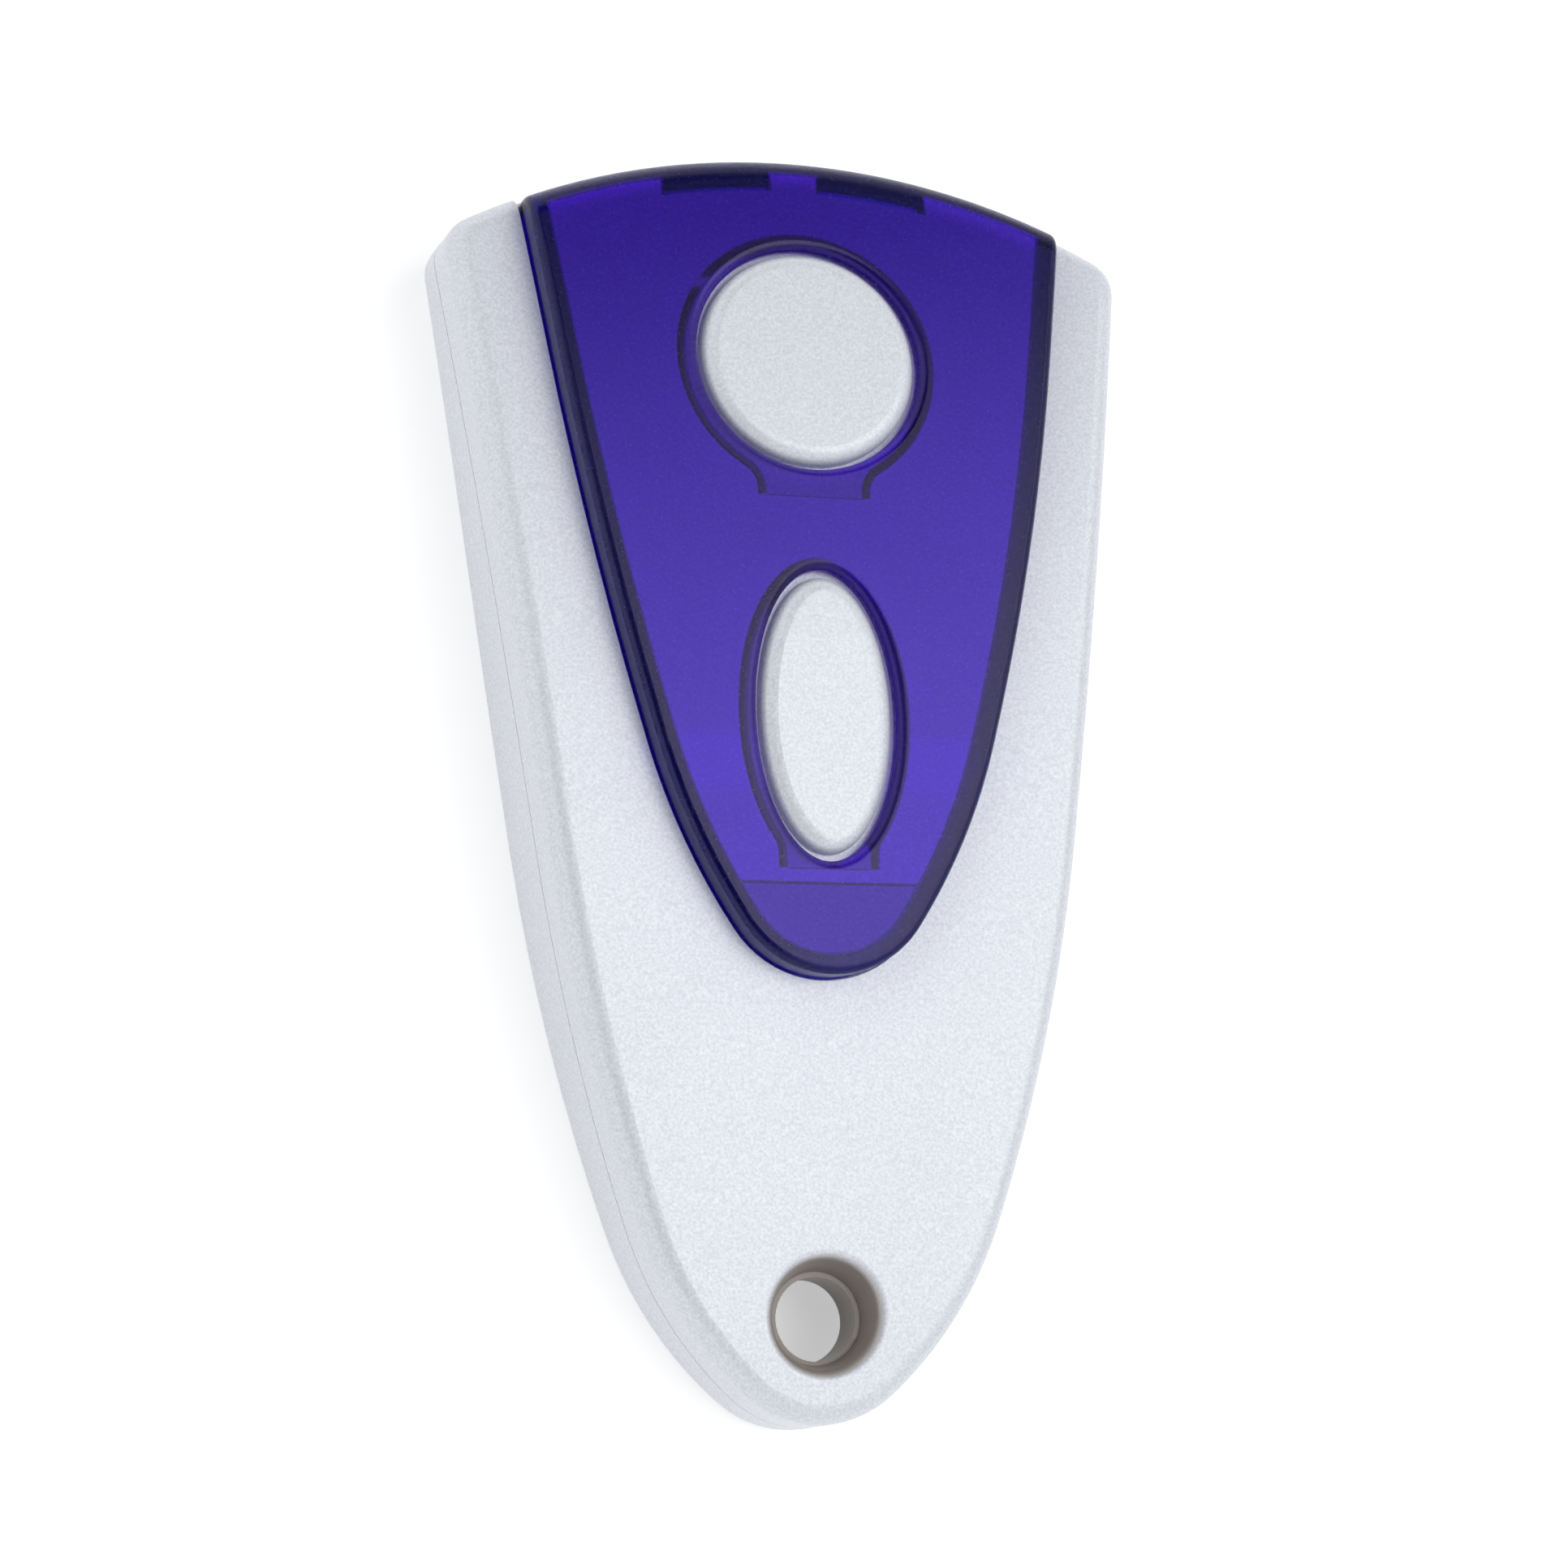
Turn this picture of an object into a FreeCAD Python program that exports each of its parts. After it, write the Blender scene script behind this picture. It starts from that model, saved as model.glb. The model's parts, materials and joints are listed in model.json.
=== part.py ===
import FreeCAD, Part
import math
import os
import Sketcher

from FreeCAD import Placement, Rotation, Vector

# Garage door remote, millimetres. It lies on its flat back: +Z is the way the buttons face,
# +Y runs from the key ring end to the wide end, and the origin is the middle of the back.
# Every surface of the front is a cylinder about one crown axis, which lies across the part,
# so the height of a front surface is given as a depth below the top of the cover.

SIZES = [
    # outer form
    ("body_length", 71.3), ("body_thickness", 11.3), ("crown_radius", 242.0),
    ("nose_radius", 6.35), ("nose_sweep", 41.5), ("flank_radius", 21.55), ("flank_sweep", 29.9),
    ("side_radius", 116.35), ("side_sweep", 10.6), ("end_radius", 40.0), ("ear_radius", 2.1),
    ("shell_wall", 1.5), ("back_wall", 1.3), ("face_wall", 1.6), ("front_height", 3.5),
    ("end_wall", 3.0), ("face_edge_radius", 1.2), ("back_edge_radius", 0.8),
    ("back_end_radius", 2.0),
    ("seam_gap", 0.08), ("lip_width", 0.7), ("lip_height", 0.7), ("lip_clearance", 0.08),
    # translucent cover
    ("cover_proud", 1.9), ("cover_wall", 0.85), ("cover_skirt", 1.1), ("cover_length", 47.35),
    ("cover_nose_radius", 6.06), ("cover_nose_sweep", 56.2), ("cover_flank_radius", 35.3),
    ("cover_flank_sweep", 18.1), ("cover_side_radius", 186.4), ("cover_side_sweep", 7.1),
    ("cover_end_inset", 0.4), ("cover_end_radius", 1.6), ("cover_clearance", 0.12),
    ("cover_edge_radius", 0.45),
    ("hole_rim_radius", 0.5), ("apron_height", 4.0), ("apron_wall", 1.3), ("clip_width", 6.2),
    ("clip_spread", 4.6), ("clip_wall", 0.9), ("clip_barb", 0.3), ("clip_barb_height", 0.5),
    ("clip_short", 0.3),
    # buttons and the plate that they swing on
    ("round_inset", 12.55), ("round_radius", 6.25), ("round_flange", 0.8), ("round_root", 8.0),
    ("round_neck", 5.55), ("button_pitch", 20.45), ("oval_half_width", 3.8),
    ("oval_half_length", 7.75), ("oval_flange", 0.65), ("oval_root", 8.5), ("oval_neck", 4.8),
    ("button_gap", 0.25), ("oval_end_gap", 0.4), ("button_proud", 0.1), ("button_wall", 1.0),
    ("button_edge_radius", 0.9), ("slot_width", 0.5), ("tongue_wall", 0.8), ("neck_fillet", 2.0),
    ("root_gap", 0.06),
    ("plate_gap", 0.12), ("plate_wall", 1.6), ("plate_side_gap", 0.15), ("plate_tail", 0.75),
    ("seat_gap", 0.05), ("ledge_width", 0.95), ("post_radius", 1.4),
    # key ring hole
    ("ring_inset", 5.75), ("ring_radius", 2.3), ("ring_front_radius", 3.1),
    ("ring_step_radius", 2.55), ("ring_boss_radius", 4.1), ("ring_throat_top", 5.7),
    ("ring_throat_bottom", 3.1), ("ring_back_radius", 3.8), ("ring_rim_radius", 0.6),
    # board, its pegs and the switches
    ("board_bottom", 4.9), ("board_wall", 0.8), ("board_inset", 2.2), ("board_low_inset", 16.95),
    ("board_high_inset", 6.65), ("board_gap", 0.3), ("peg_radius", 1.6), ("pin_radius", 0.7),
    ("pin_clearance", 0.1),
    ("high_peg_x", 13.2), ("high_peg_inset", 18.65), ("low_peg_x", 11.2), ("low_peg_rise", 6.3),
    ("switch_width", 6.2), ("switch_height", 1.0), ("switch_floor", 0.25),
    ("switch_well_radius", 2.3), ("frame_wall", 0.15), ("plunger_radius", 1.5),
    ("plunger_flange", 1.9), ("plunger_flange_wall", 0.3), ("plunger_top", 1.5),
    ("plunger_clearance", 0.15), ("dome_wall", 0.1), ("dome_rise", 0.15), ("dome_flat_radius", 0.9),
    ("switch_gap", 0.1),
    # coin cell and its contacts
    ("cell_radius", 10.0), ("cell_height", 3.2), ("cell_inset", 26.85), ("cell_gap", 0.15),
    ("can_wall", 0.3), ("gasket_width", 1.0), ("cradle_gap", 0.25), ("cradle_wall", 1.0),
    ("cradle_height", 2.2), ("cradle_notch", 5.0), ("contact_wall", 0.25), ("contact_width", 4.0),
    ("leaf_length", 12.0), ("foot_length", 1.4),
    # screws
    ("screw_x", 15.0), ("screw_high_inset", 9.65), ("screw_low_inset", 13.15), ("screw_radius", 1.1),
    ("screw_head_radius", 1.9), ("screw_head_height", 1.2), ("screw_length", 4.8),
    ("screw_recess", 0.6), ("screw_grip", 1.4), ("screw_clearance", 0.15),
    ("screw_boss_wall", 0.85), ("screw_point", 0.8), ("screw_chamfer", 0.4),
    ("pilot_gap", 0.02), ("front_boss_radius", 2.1),
    # radio and logic parts
    ("chip_x", 7.2), ("chip_inset", 21.45), ("chip_length", 5.0), ("chip_width", 3.9),
    ("chip_height", 1.3), ("pin_pitch", 1.27), ("pin_width", 0.42), ("pin_reach", 1.0),
    ("pin_height", 0.5), ("chip_lift", 0.15), ("resonator_x", 7.2), ("resonator_radius", 2.3),
    ("resonator_height", 1.5), ("resonator_rim", 0.3), ("resonator_base_wall", 0.25),
    ("led_inset", 23.45), ("led_length", 3.2), ("led_width", 1.6), ("led_base_height", 0.5),
    ("led_lens_length", 2.0), ("led_lens_height", 0.6), ("antenna_wire", 0.6),
    ("antenna_half_width", 10.5), ("antenna_leg", 3.7), ("antenna_inset", 7.45),
    ("capacitor_length", 2.0), ("capacitor_width", 1.2), ("capacitor_height", 1.0),
    ("resistor_length", 1.6), ("resistor_width", 0.8), ("resistor_height", 0.5),
]

# Places on the board, as x and the way back from the wide end
CAPACITORS = [(-9.4, 16.05), (-9.4, 13.85), (9.4, 15.45), (-8.2, 33.15), (8.2, 30.15)]
RESISTORS = [(9.6, 27.05), (9.6, 32.45), (-8.4, 30.25), (-8.4, 27.45), (6.8, 26.65),
             (9.4, 13.25)]

doc = FreeCAD.newDocument("remote")
sheet = doc.addObject("Spreadsheet::Sheet", "Sizes")
for row, (alias, value) in enumerate(SIZES, start=1):
    sheet.set("A%d" % row, alias)
    sheet.set("B%d" % row, str(value))
    sheet.setAlias("B%d" % row, alias)
doc.recompute()

ALIASES = {alias for alias, value in SIZES}
PIECES = []

# Places along the part, from its wide end or from its key ring end
TIP = "-body_length/2"
ROUND_Y = "(body_length/2 - round_inset)"
OVAL_Y = "(body_length/2 - round_inset - button_pitch)"
PLATE_LOW_Y = "(body_length/2 - round_inset - button_pitch - oval_root - plate_tail)"
RING_Y = "(ring_inset - body_length/2)"
CELL_Y = "(cell_inset - body_length/2)"
HIGH_SCREW_Y = "(body_length/2 - screw_high_inset)"
LOW_SCREW_Y = "(screw_low_inset - body_length/2)"
HIGH_PEG_Y = "(body_length/2 - high_peg_inset)"
LOW_PEG_Y = "(cell_inset - body_length/2 + low_peg_rise)"
BOARD_LOW_Y = "(board_low_inset - body_length/2)"
BOARD_HIGH_Y = "(body_length/2 - board_high_inset)"
CHIP_Y = "(body_length/2 - chip_inset)"
LED_Y = "(body_length/2 - led_inset)"
ANTENNA_Y = "(body_length/2 - antenna_inset)"
END_CENTRE = "(body_length/2 - end_radius)"

# Depths below the top of the cover, then heights above the back

FACE = "cover_proud"
LEDGE = "(cover_proud + face_wall)"
PARTING = "(cover_proud + front_height)"
PLATE_TOP = "(cover_wall + plate_gap)"
PLATE_BOTTOM = "(cover_wall + plate_gap + plate_wall)"
SEAT = "(cover_wall + plate_gap + plate_wall + seat_gap)"
BOARD_TOP = "(board_bottom + board_wall)"
PLUNGER_TOP = "(board_bottom + board_wall + plunger_top)"
CELL_BOTTOM = "(back_wall + cell_gap)"
CELL_TOP = "(back_wall + cell_gap + cell_height)"
SCREW_SEAT = "(screw_recess + screw_head_height)"
BOSS_JOINT = "(screw_recess + screw_head_height + screw_grip)"


def named(words):
    """Put the sheet's name before each alias in an expression."""
    out = ""
    word = ""
    for letter in words + " ":
        if letter.isalnum() or letter in "_.":
            word += letter
            continue
        out += "Sizes." + word if word in ALIASES else word
        out += letter
        word = ""
    return out.strip()


def size(words):
    """The number that an expression in the sheet's names stands for."""
    return float(sheet.evalExpression(named(words)))


def crown_height(depth, y):
    """The height above the back of a front surface at this y."""
    radius = "(crown_radius - (%s))" % depth
    return "(body_thickness - crown_radius + sqrt(%s^2 - (%s)^2))" % (radius, y)


# Part primitives and booleans

def bind(item, **words):
    """Bind an object's properties to expressions in the sheet's names."""
    for key, text in words.items():
        item.setExpression(key, named(text))
    return item


def place(item, x="0", y="0", z="0"):
    """Bind an object's place to expressions."""
    for axis, text in (("x", x), ("y", y), ("z", z)):
        item.setExpression("Placement.Base." + axis, named(text))
    return item


def box(name, wide, deep, high, x="0", y="0", z="0"):
    """A box centred on x and y that stands on z."""
    item = bind(doc.addObject("Part::Box", name), Length=wide, Width=deep, Height=high)
    return place(item, "%s - (%s)/2" % (x, wide), "%s - (%s)/2" % (y, deep), z)


def rod(name, radius, high, x="0", y="0", z="0"):
    """An upright cylinder that stands on z."""
    return place(bind(doc.addObject("Part::Cylinder", name), Radius=radius, Height=high), x, y, z)


def cone(name, low_radius, high_radius, high, x="0", y="0", z="0"):
    """An upright cone that stands on z."""
    item = doc.addObject("Part::Cone", name)
    return place(bind(item, Radius1=low_radius, Radius2=high_radius, Height=high), x, y, z)


def ellipse_block(name, half_width, half_length, y):
    """A block with an elliptical plan, as high as the body is thick."""
    ring = bind(doc.addObject("Part::Ellipse", name + "_plan"), MajorRadius=half_length,
                MinorRadius=half_width)
    ring.Placement = Placement(Vector(), Rotation(Vector(0, 0, 1), 90))
    item = doc.addObject("Part::Extrusion", name)
    item.Base = place(ring, y=y)
    item.DirMode = "Custom"
    item.Dir = Vector(0, 0, 1)
    item.Solid = True
    return bind(item, LengthFwd="body_thickness")


def pillar(name, half_width, half_length, y):
    """An upright block with a round or an elliptical plan."""
    if half_width == half_length:
        return rod(name, half_width, "body_thickness", y=y)
    return ellipse_block(name, half_width, half_length, y)


def fuse(name, *shapes):
    """One piece of several that meet."""
    item = doc.addObject("Part::MultiFuse", name)
    item.Shapes = list(shapes)
    item.Refine = True
    return item


def common(name, *shapes):
    """What all the shapes share."""
    item = doc.addObject("Part::MultiCommon", name)
    item.Shapes = list(shapes)
    return item


def cut(name, base, *tools):
    """The base with each tool taken away."""
    item = doc.addObject("Part::Cut", name)
    item.Base = base
    item.Tool = fuse(name + "_tools", *tools) if len(tools) > 1 else tools[0]
    item.Refine = True
    return item


def crown(name, depth):
    """Everything below the front surface that lies at this depth."""
    item = bind(doc.addObject("Part::Cylinder", name), Radius="crown_radius - (%s)" % depth,
                Height="body_length")
    item.Placement = Placement(Vector(), Rotation(Vector(0, 1, 0), 90))
    return place(item, "-body_length/2", "0", "body_thickness - crown_radius")


def layer(name, block, top, bottom=None):
    """The part of a block between two depths of the front."""
    item = common(name + "_below", block, crown(name + "_top", top))
    return item if bottom is None else cut(name, item, crown(name + "_bottom", bottom))


# PartDesign bodies

def body(name):
    return doc.addObject("PartDesign::Body", name)


def base_plane(item, role):
    """One of the body's own origin planes."""
    return next(plane for plane in item.Origin.OriginFeatures if plane.Role == role)


def sketch(item, name, role="XY_Plane", start="0"):
    """An empty sketch on one of the body's planes, raised by start."""
    profile = item.newObject("Sketcher::SketchObject", name)
    profile.AttachmentSupport = [(base_plane(item, role), "")]
    profile.MapMode = "FlatFace"
    profile.setExpression("AttachmentOffset.Base.z", named(start))
    return profile


def hold(profile, kind, text, *points):
    """A constraint whose value is an expression."""
    value = size(text)
    datum = math.radians(value) if kind == "Angle" else value
    index = profile.addConstraint(Sketcher.Constraint(kind, *points, datum))
    profile.setExpression("Constraints[%d]" % index, named(text))


def tie(profile, kind, *points):
    profile.addConstraint(Sketcher.Constraint(kind, *points))


def polygon(profile, corners):
    """A closed polygon, each corner held by two expressions."""
    spots = [Vector(size(x), size(y), 0) for x, y in corners]
    count = len(spots)
    for i in range(count):
        profile.addGeometry(Part.LineSegment(spots[i], spots[(i + 1) % count]), False)
    for i, (x, y) in enumerate(corners):
        tie(profile, "Coincident", (i - 1) % count, 2, i, 1)
        for kind, text, axis in (("DistanceX", x, -2), ("DistanceY", y, -1)):
            if text == "0":
                tie(profile, "PointOnObject", i, 1, axis)
            else:
                hold(profile, kind, text, -1, 1, i, 1)
    return profile


def disc(profile, radius):
    """A circle about the body's own axis."""
    profile.addGeometry(Part.Circle(Vector(), Vector(0, 0, 1), size(radius)), False)
    tie(profile, "Coincident", 0, 3, -1, 1)
    hold(profile, "Radius", radius, 0)
    return profile


def pad(item, profile, high):
    feature = item.newObject("PartDesign::Pad", profile.Name + "_pad")
    feature.Profile = profile
    return bind(feature, Length=high)


def pocket(item, profile, deep):
    """Cut upward from the sketch."""
    feature = item.newObject("PartDesign::Pocket", profile.Name + "_pocket")
    feature.Profile = profile
    feature.Reversed = True
    return bind(feature, Length=deep)


def plate_body(name, side, high, start, hole_radius, hole_deep, hole_start):
    """A square plate with a round well or hole in its middle."""
    item = body(name)
    half = "%s/2" % side
    corners = [(half, half), ("-" + half, half), ("-" + half, "-" + half), (half, "-" + half)]
    pad(item, polygon(sketch(item, name + "_plan", start=start), corners), high)
    doc.recompute()
    pocket(item, disc(sketch(item, name + "_well", start=hole_start), hole_radius), hole_deep)
    return item


def turned(name, corners):
    """A body turned about its own Z axis from a profile of radius and height."""
    item = body(name)
    profile = polygon(sketch(item, name + "_profile", "XZ_Plane"), corners)
    feature = item.newObject("PartDesign::Revolution", name + "_turn")
    feature.Profile = profile
    feature.ReferenceAxis = (profile, ["V_Axis"])
    feature.Angle = 360
    return item


# Outlines: three tangent arcs up the side, a straight run, a corner and the end arc

BODY = {"tip": TIP, "corner": "ear_radius",
        "arcs": [("nose_radius", "nose_sweep"), ("flank_radius", "flank_sweep"),
                 ("side_radius", "side_sweep")]}
COVER = {"tip": "body_length/2 - cover_length", "corner": "cover_edge_radius",
         "arcs": [("cover_nose_radius", "cover_nose_sweep"),
                  ("cover_flank_radius", "cover_flank_sweep"),
                  ("cover_side_radius", "cover_side_sweep")]}
SHARPEST = 0.2
CLOSE = 0.005


def arc(profile, centre, radius, start, end):
    """A counter-clockwise arc between two directions in radians."""
    circle = Part.Circle(centre, Vector(0, 0, 1), radius)
    profile.addGeometry(Part.ArcOfCircle(circle, start, end), False)


def half_outline(profile, form, inset, end_inset):
    """The right half of an outline, moved in by inset and at the end by end_inset."""
    gap = size(inset)
    point = Vector(0, size(form["tip"]) + gap, 0)
    turn = -math.pi / 2
    for radius, sweep in form["arcs"]:
        bend = size(radius) - gap
        centre = point - Vector(math.cos(turn), math.sin(turn)) * bend
        after = turn + math.radians(size(sweep))
        arc(profile, centre, bend, turn, after)
        point = centre + Vector(math.cos(after), math.sin(after)) * bend
        turn = after
    corner = "%s - (%s)" % (form["corner"], inset)
    if size(corner) < SHARPEST:
        corner = str(SHARPEST)
    roll = size(corner)
    out = Vector(math.cos(turn), math.sin(turn))
    along = Vector(-out.y, out.x)
    centre = Vector(0, size(END_CENTRE))
    reach = size("end_radius - (%s)" % end_inset)
    start = point - out * roll - centre
    lean = start.dot(along)
    run = -lean + math.sqrt(lean ** 2 - start.dot(start) + (reach - roll) ** 2)
    hub = start + along * run + centre
    radial = hub - centre
    facing = math.atan2(radial.y, radial.x)
    profile.addGeometry(Part.LineSegment(point, point + along * run), False)
    arc(profile, hub, roll, turn, facing)
    arc(profile, centre, reach, facing, math.pi / 2)
    top = centre + Vector(0, reach)
    profile.addGeometry(Part.LineSegment(top, Vector(0, size(form["tip"]) + gap)), False)

    # the chain starts on the middle line and each piece is tangent to the last
    tie(profile, "PointOnObject", 0, 1, -2)
    tie(profile, "PointOnObject", 0, 3, -2)
    hold(profile, "DistanceY", "%s + (%s)" % (form["tip"], inset), -1, 1, 0, 1)
    for i, (radius, sweep) in enumerate(form["arcs"]):
        hold(profile, "Radius", "%s - (%s)" % (radius, inset), i)
        hold(profile, "Angle", sweep, i)
        tie(profile, "Tangent", i, 2, i + 1, 1)
    tie(profile, "Tangent", 3, 2, 4, 1)
    hold(profile, "Radius", corner, 4)
    tie(profile, "Tangent", 4, 2, 5, 1)
    hold(profile, "Radius", "end_radius - (%s)" % end_inset, 5)
    tie(profile, "PointOnObject", 5, 3, -2)
    hold(profile, "DistanceY", END_CENTRE, -1, 1, 5, 3)
    tie(profile, "PointOnObject", 5, 2, -2)
    tie(profile, "Coincident", 5, 2, 6, 1)
    tie(profile, "Coincident", 6, 2, 0, 1)
    return profile


def column(name, form, inset="0", end_inset=None, low="0", high="body_thickness"):
    """An upright block with an outline, from low to high."""
    item = body(name)
    profile = half_outline(sketch(item, name + "_plan", start=low), form, inset,
                           inset if end_inset is None else end_inset)
    half = pad(item, profile, "%s - (%s)" % (high, low))
    mirrored = item.newObject("PartDesign::Mirrored", name + "_mirror")
    mirrored.Originals = [half]
    mirrored.MirrorPlane = (base_plane(item, "YZ_Plane"), [""])
    item.Tip = mirrored
    return item


def end_band(name, outer, inner):
    """The upright band between two insets of the end arc."""
    return cut(name, rod(name + "_outer", "end_radius - (%s)" % outer, "body_thickness",
                         y=END_CENTRE),
               rod(name + "_inner", "end_radius - (%s)" % inner, "body_thickness", y=END_CENTRE))


# Fillets, on the edges that a test picks out

def round_edges(name, base, *rules):
    """Fillet the edges that each rule, a test and a radius, picks out.

    A third word in a rule is the radius at the edge's other end, the one with the larger y.
    """
    doc.recompute()
    item = doc.addObject("Part::Fillet", name)
    item.Base = base
    picked = []
    for wanted, *radii in rules:
        found = [i for i, edge in enumerate(base.Shape.Edges, start=1) if wanted(edge)]
        if not found:
            raise ValueError("no edges to round for " + name)
        for i in found:
            first, last = size(radii[0]), size(radii[-1])
            if rises(base.Shape.Edges[i - 1]):
                picked.append((i, first, last))
            else:
                picked.append((i, last, first))
    item.Edges = picked
    return item


def rises(edge):
    """Whether an edge starts at its end with the smaller y."""
    return edge.firstVertex(True).Y <= edge.lastVertex(True).Y


def on_crown(edge, depth):
    """Whether an edge lies in the front surface at this depth."""
    centre_z = size("body_thickness - crown_radius")
    radius = size("crown_radius - (%s)" % depth)
    span = edge.LastParameter - edge.FirstParameter
    points = [edge.valueAt(edge.FirstParameter + share * span) for share in (0.1, 0.5, 0.9)]
    return all(abs(math.hypot(p.y, p.z - centre_z) - radius) < CLOSE for p in points)


def near_axis(edge, y, radius):
    """Whether an edge stays within a radius of the upright line at this y."""
    span = edge.LastParameter - edge.FirstParameter
    points = [edge.valueAt(edge.FirstParameter + share * span) for share in (0.1, 0.5, 0.9)]
    return all(math.hypot(p.x, p.y - y) < radius for p in points)


def upright(edge):
    """Whether an edge is a straight vertical line."""
    box_of = edge.BoundBox
    return box_of.XLength < CLOSE and box_of.YLength < CLOSE < box_of.ZLength


def finish(item, label):
    """Name a sub-part and keep it for the export."""
    item.Label = label
    PIECES.append(item)


SCREWS = [("high_right", "screw_x", HIGH_SCREW_Y), ("high_left", "-screw_x", HIGH_SCREW_Y),
          ("low", "0", LOW_SCREW_Y)]
PEGS = [("high_right", "high_peg_x", HIGH_PEG_Y), ("high_left", "-high_peg_x", HIGH_PEG_Y),
        ("low_right", "low_peg_x", LOW_PEG_Y), ("low_left", "-low_peg_x", LOW_PEG_Y)]
CLIPS = [("right", "clip_spread"), ("left", "-clip_spread")]
BUTTONS = [("round", ROUND_Y, "round_radius", "round_radius"),
           ("oval", OVAL_Y, "oval_half_width", "oval_half_length")]


def clip_blocks(name, gap, barb_only):
    """The two snap pads behind the cover's end, or only their barbs, made larger by a gap."""
    low_edge = "(apron_height - clip_short)"
    if barb_only:
        band = end_band(name + "_band", "apron_wall", "apron_wall + clip_wall + clip_barb + " + gap)
        top = "%s - clip_barb_height - %s" % (low_edge, gap)
    else:
        band = end_band(name + "_band", "0.75*apron_wall", "apron_wall + clip_wall + " + gap)
        top = "cover_wall/2"
    slabs = [box("%s_%s" % (name, side), "clip_width + 2*" + gap, "2*end_wall",
                 "body_thickness", x, "body_length/2 - end_wall") for side, x in CLIPS]
    return layer(name, common(name + "_both", band, fuse(name + "_slabs", *slabs)), top,
                 "%s + %s" % (low_edge, gap))


def front_bosses():
    """The screw bosses, the posts that hold the board down and the key ring boss."""
    items = [rod("front_boss_" + name, "front_boss_radius", "body_thickness", x, y,
                 BOSS_JOINT + " + seam_gap") for name, x, y in SCREWS]
    items += [rod("front_peg_" + name, "peg_radius", "body_thickness", x, y,
                  BOARD_TOP + " + seam_gap") for name, x, y in PEGS]
    items.append(rod("front_ring_boss", "ring_boss_radius", "body_thickness", "0", RING_Y,
                     "ring_throat_top + seam_gap"))
    return common("front_bosses", fuse("front_boss_group", *items),
                  crown("front_boss_top", LEDGE + " - face_wall/4"))


def front_shell():
    """The pearl white half: the recess for the cover, the ledge for the plate, and bosses."""
    shell = layer("front_block", column("front_column", BODY), FACE, PARTING)
    shell = round_edges("front_rounded", shell,
                        (lambda edge: on_crown(edge, FACE), "face_edge_radius"))
    room = layer("front_room", column("front_room_column", BODY, "shell_wall", "end_wall"), LEDGE)
    groove = layer("front_groove",
                   column("front_groove_column", BODY, "shell_wall - lip_width - lip_clearance"),
                   PARTING + " - lip_height - lip_clearance")
    recess = cut("front_recess",
                 column("front_recess_column", COVER, "-cover_clearance", "-end_wall"),
                 crown("front_recess_floor", SEAT))
    apron_room = cut("front_apron_room",
                     column("front_apron_column", COVER, "-cover_clearance", "-end_wall"),
                     rod("front_apron_inner", "end_radius - apron_wall - cover_clearance",
                         "body_thickness", y=END_CENTRE),
                     crown("front_apron_floor", "(apron_height + cover_clearance)"))
    window_side = "cover_skirt + plate_side_gap + ledge_width"
    window_end = "end_wall + plate_side_gap"
    window = common("front_window", column("front_window_column", COVER, window_side, window_end),
                    box("front_window_keep", "body_length", "body_length", "body_thickness", "0",
                        PLATE_LOW_Y + " + ledge_width + body_length/2"))
    land = layer("front_land", column("front_land_column", COVER,
                                      "cover_skirt + plate_side_gap"), PLATE_TOP, LEDGE)
    land = cut("front_land_end", land,
               box("front_land_cut", "body_length", "body_length", "body_thickness", "0",
                   PLATE_LOW_Y + " - plate_side_gap + body_length/2"))
    shell = cut("front_hollow", shell, room, groove, recess, apron_room, window,
                clip_blocks("clip_room", "cover_clearance", False),
                clip_blocks("barb_room", "cover_clearance", True))
    shell = fuse("front_joined", shell, land, front_bosses())
    face = crown_height(FACE, RING_Y)
    slope = "(ring_front_radius - ring_step_radius)/(%s - ring_throat_top)" % face
    hole = cone("ring_taper", "ring_step_radius", "ring_front_radius + %s*face_wall" % slope,
                "%s - ring_throat_top + face_wall" % face, "0", RING_Y, "ring_throat_top")
    below = rod("ring_way", "ring_step_radius", "ring_throat_top", "0", RING_Y)
    pilots = [rod("pilot_" + name, "screw_radius + pilot_gap",
                  SCREW_SEAT + " + screw_length + screw_clearance", x, y)
              for name, x, y in SCREWS]
    shell = cut("front_drilled", shell, hole, below, *pilots)
    rim = lambda edge: on_crown(edge, FACE) and near_axis(edge, size(RING_Y),
                                                          size("ring_boss_radius"))
    shell = round_edges("front_rimmed", shell, (rim, "ring_rim_radius"))
    finish(shell, "front_shell")


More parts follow.
